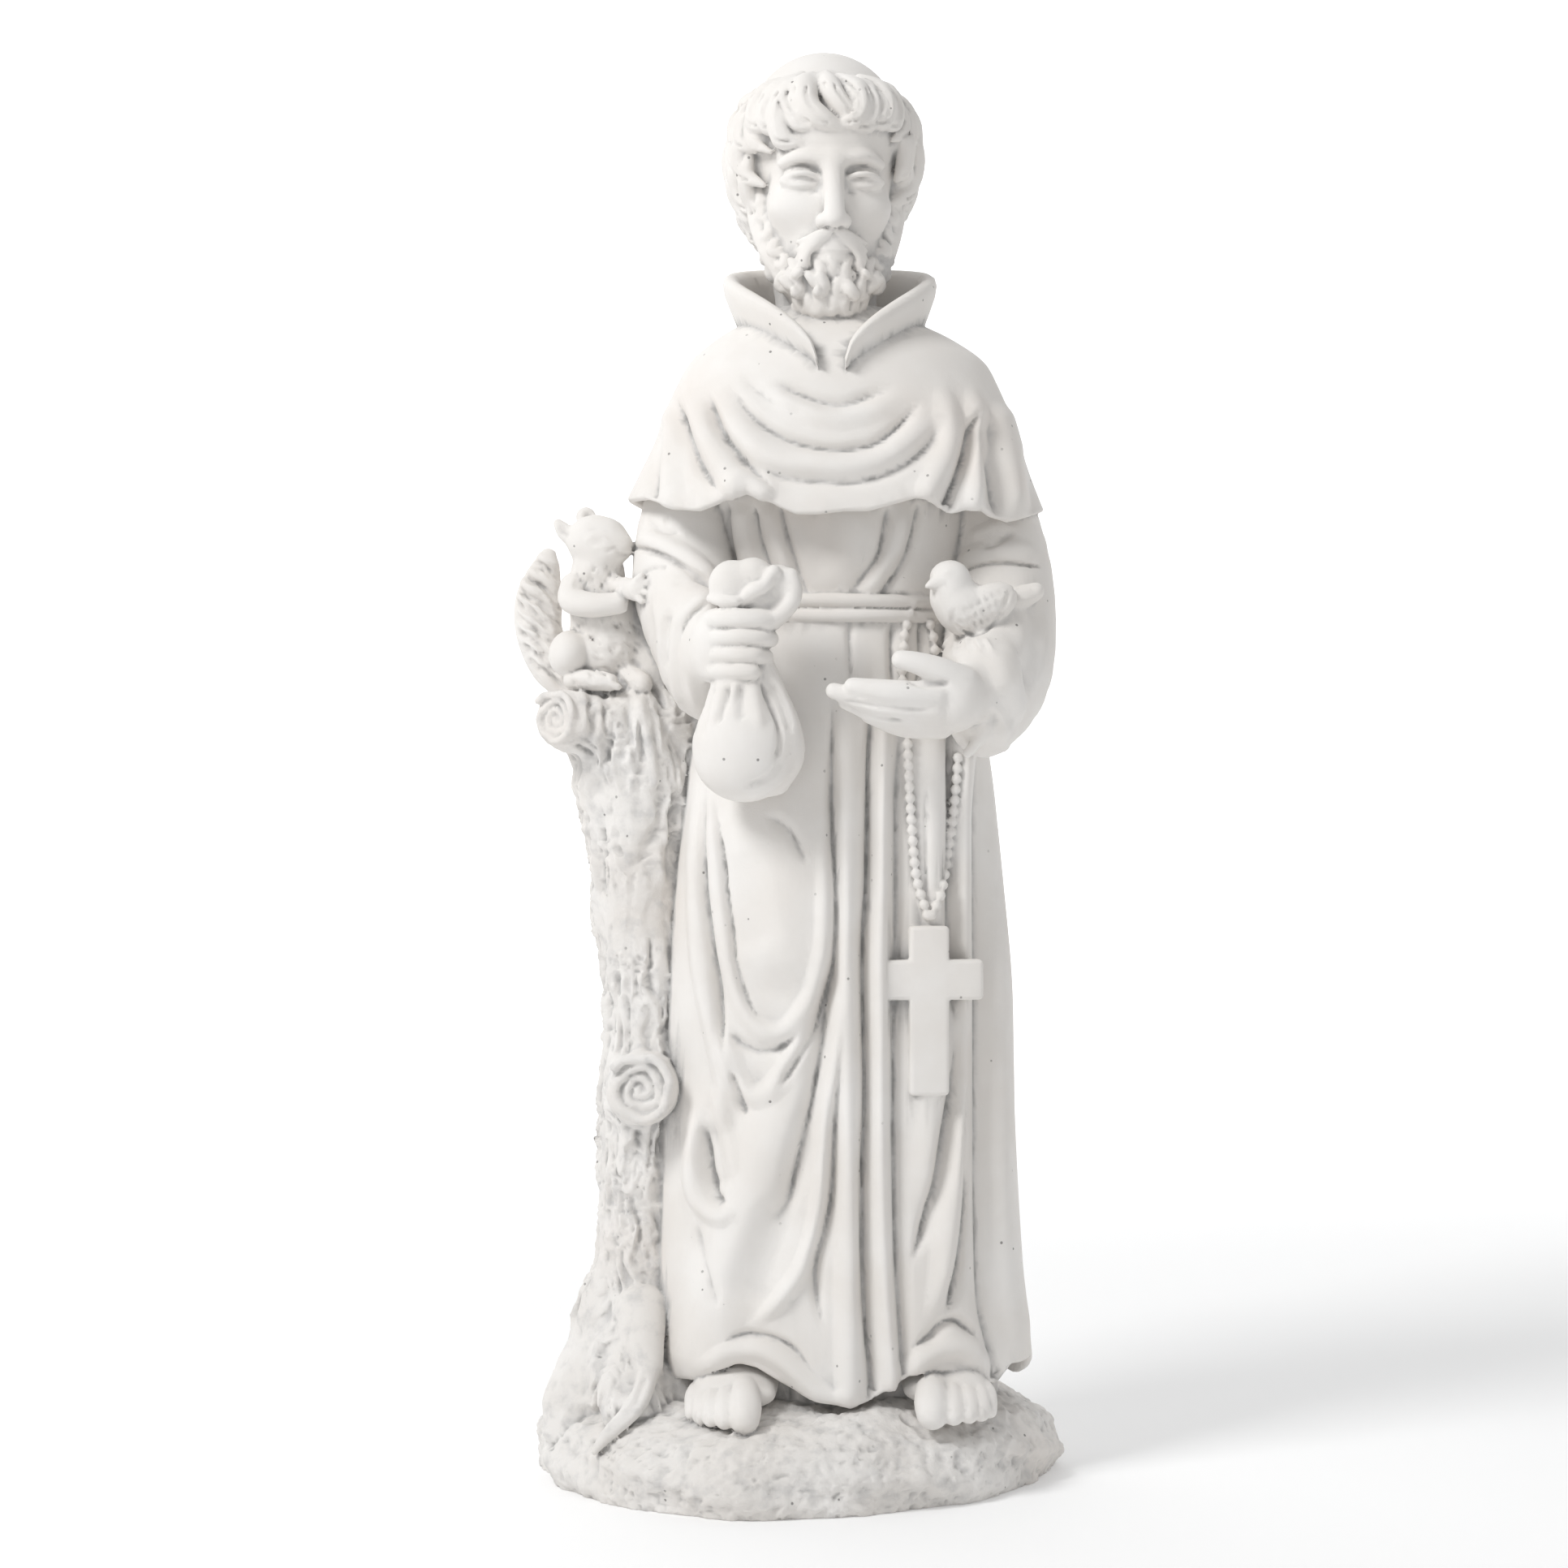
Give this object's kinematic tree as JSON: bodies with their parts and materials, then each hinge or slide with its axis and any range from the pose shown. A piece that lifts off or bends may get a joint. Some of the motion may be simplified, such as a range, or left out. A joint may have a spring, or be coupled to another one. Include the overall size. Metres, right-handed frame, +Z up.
{
  "type": "saint francis statue",
  "caption": "Cast garden statue of a robed friar saint with a bag, rosary, bird on his arm and squirrel on a tree stump, on a rocky base.",
  "frame": {"origin": "on the flat underside, under the middle of the rocky base", "axes": "+Z up, from the base to the crown; -Y towards the front of the figure; +X towards the figure's left hand, at the viewer's right"},
  "size_m": [0.3422, 0.2804, 0.8722],
  "materials": {
    "cast_stone": "matt cream-white cast stone with a cool grey wash in its hollows"
  },
  "bodies": {
    "root": {"saint_statue": "cast_stone"}
  },
  "joints": []
}
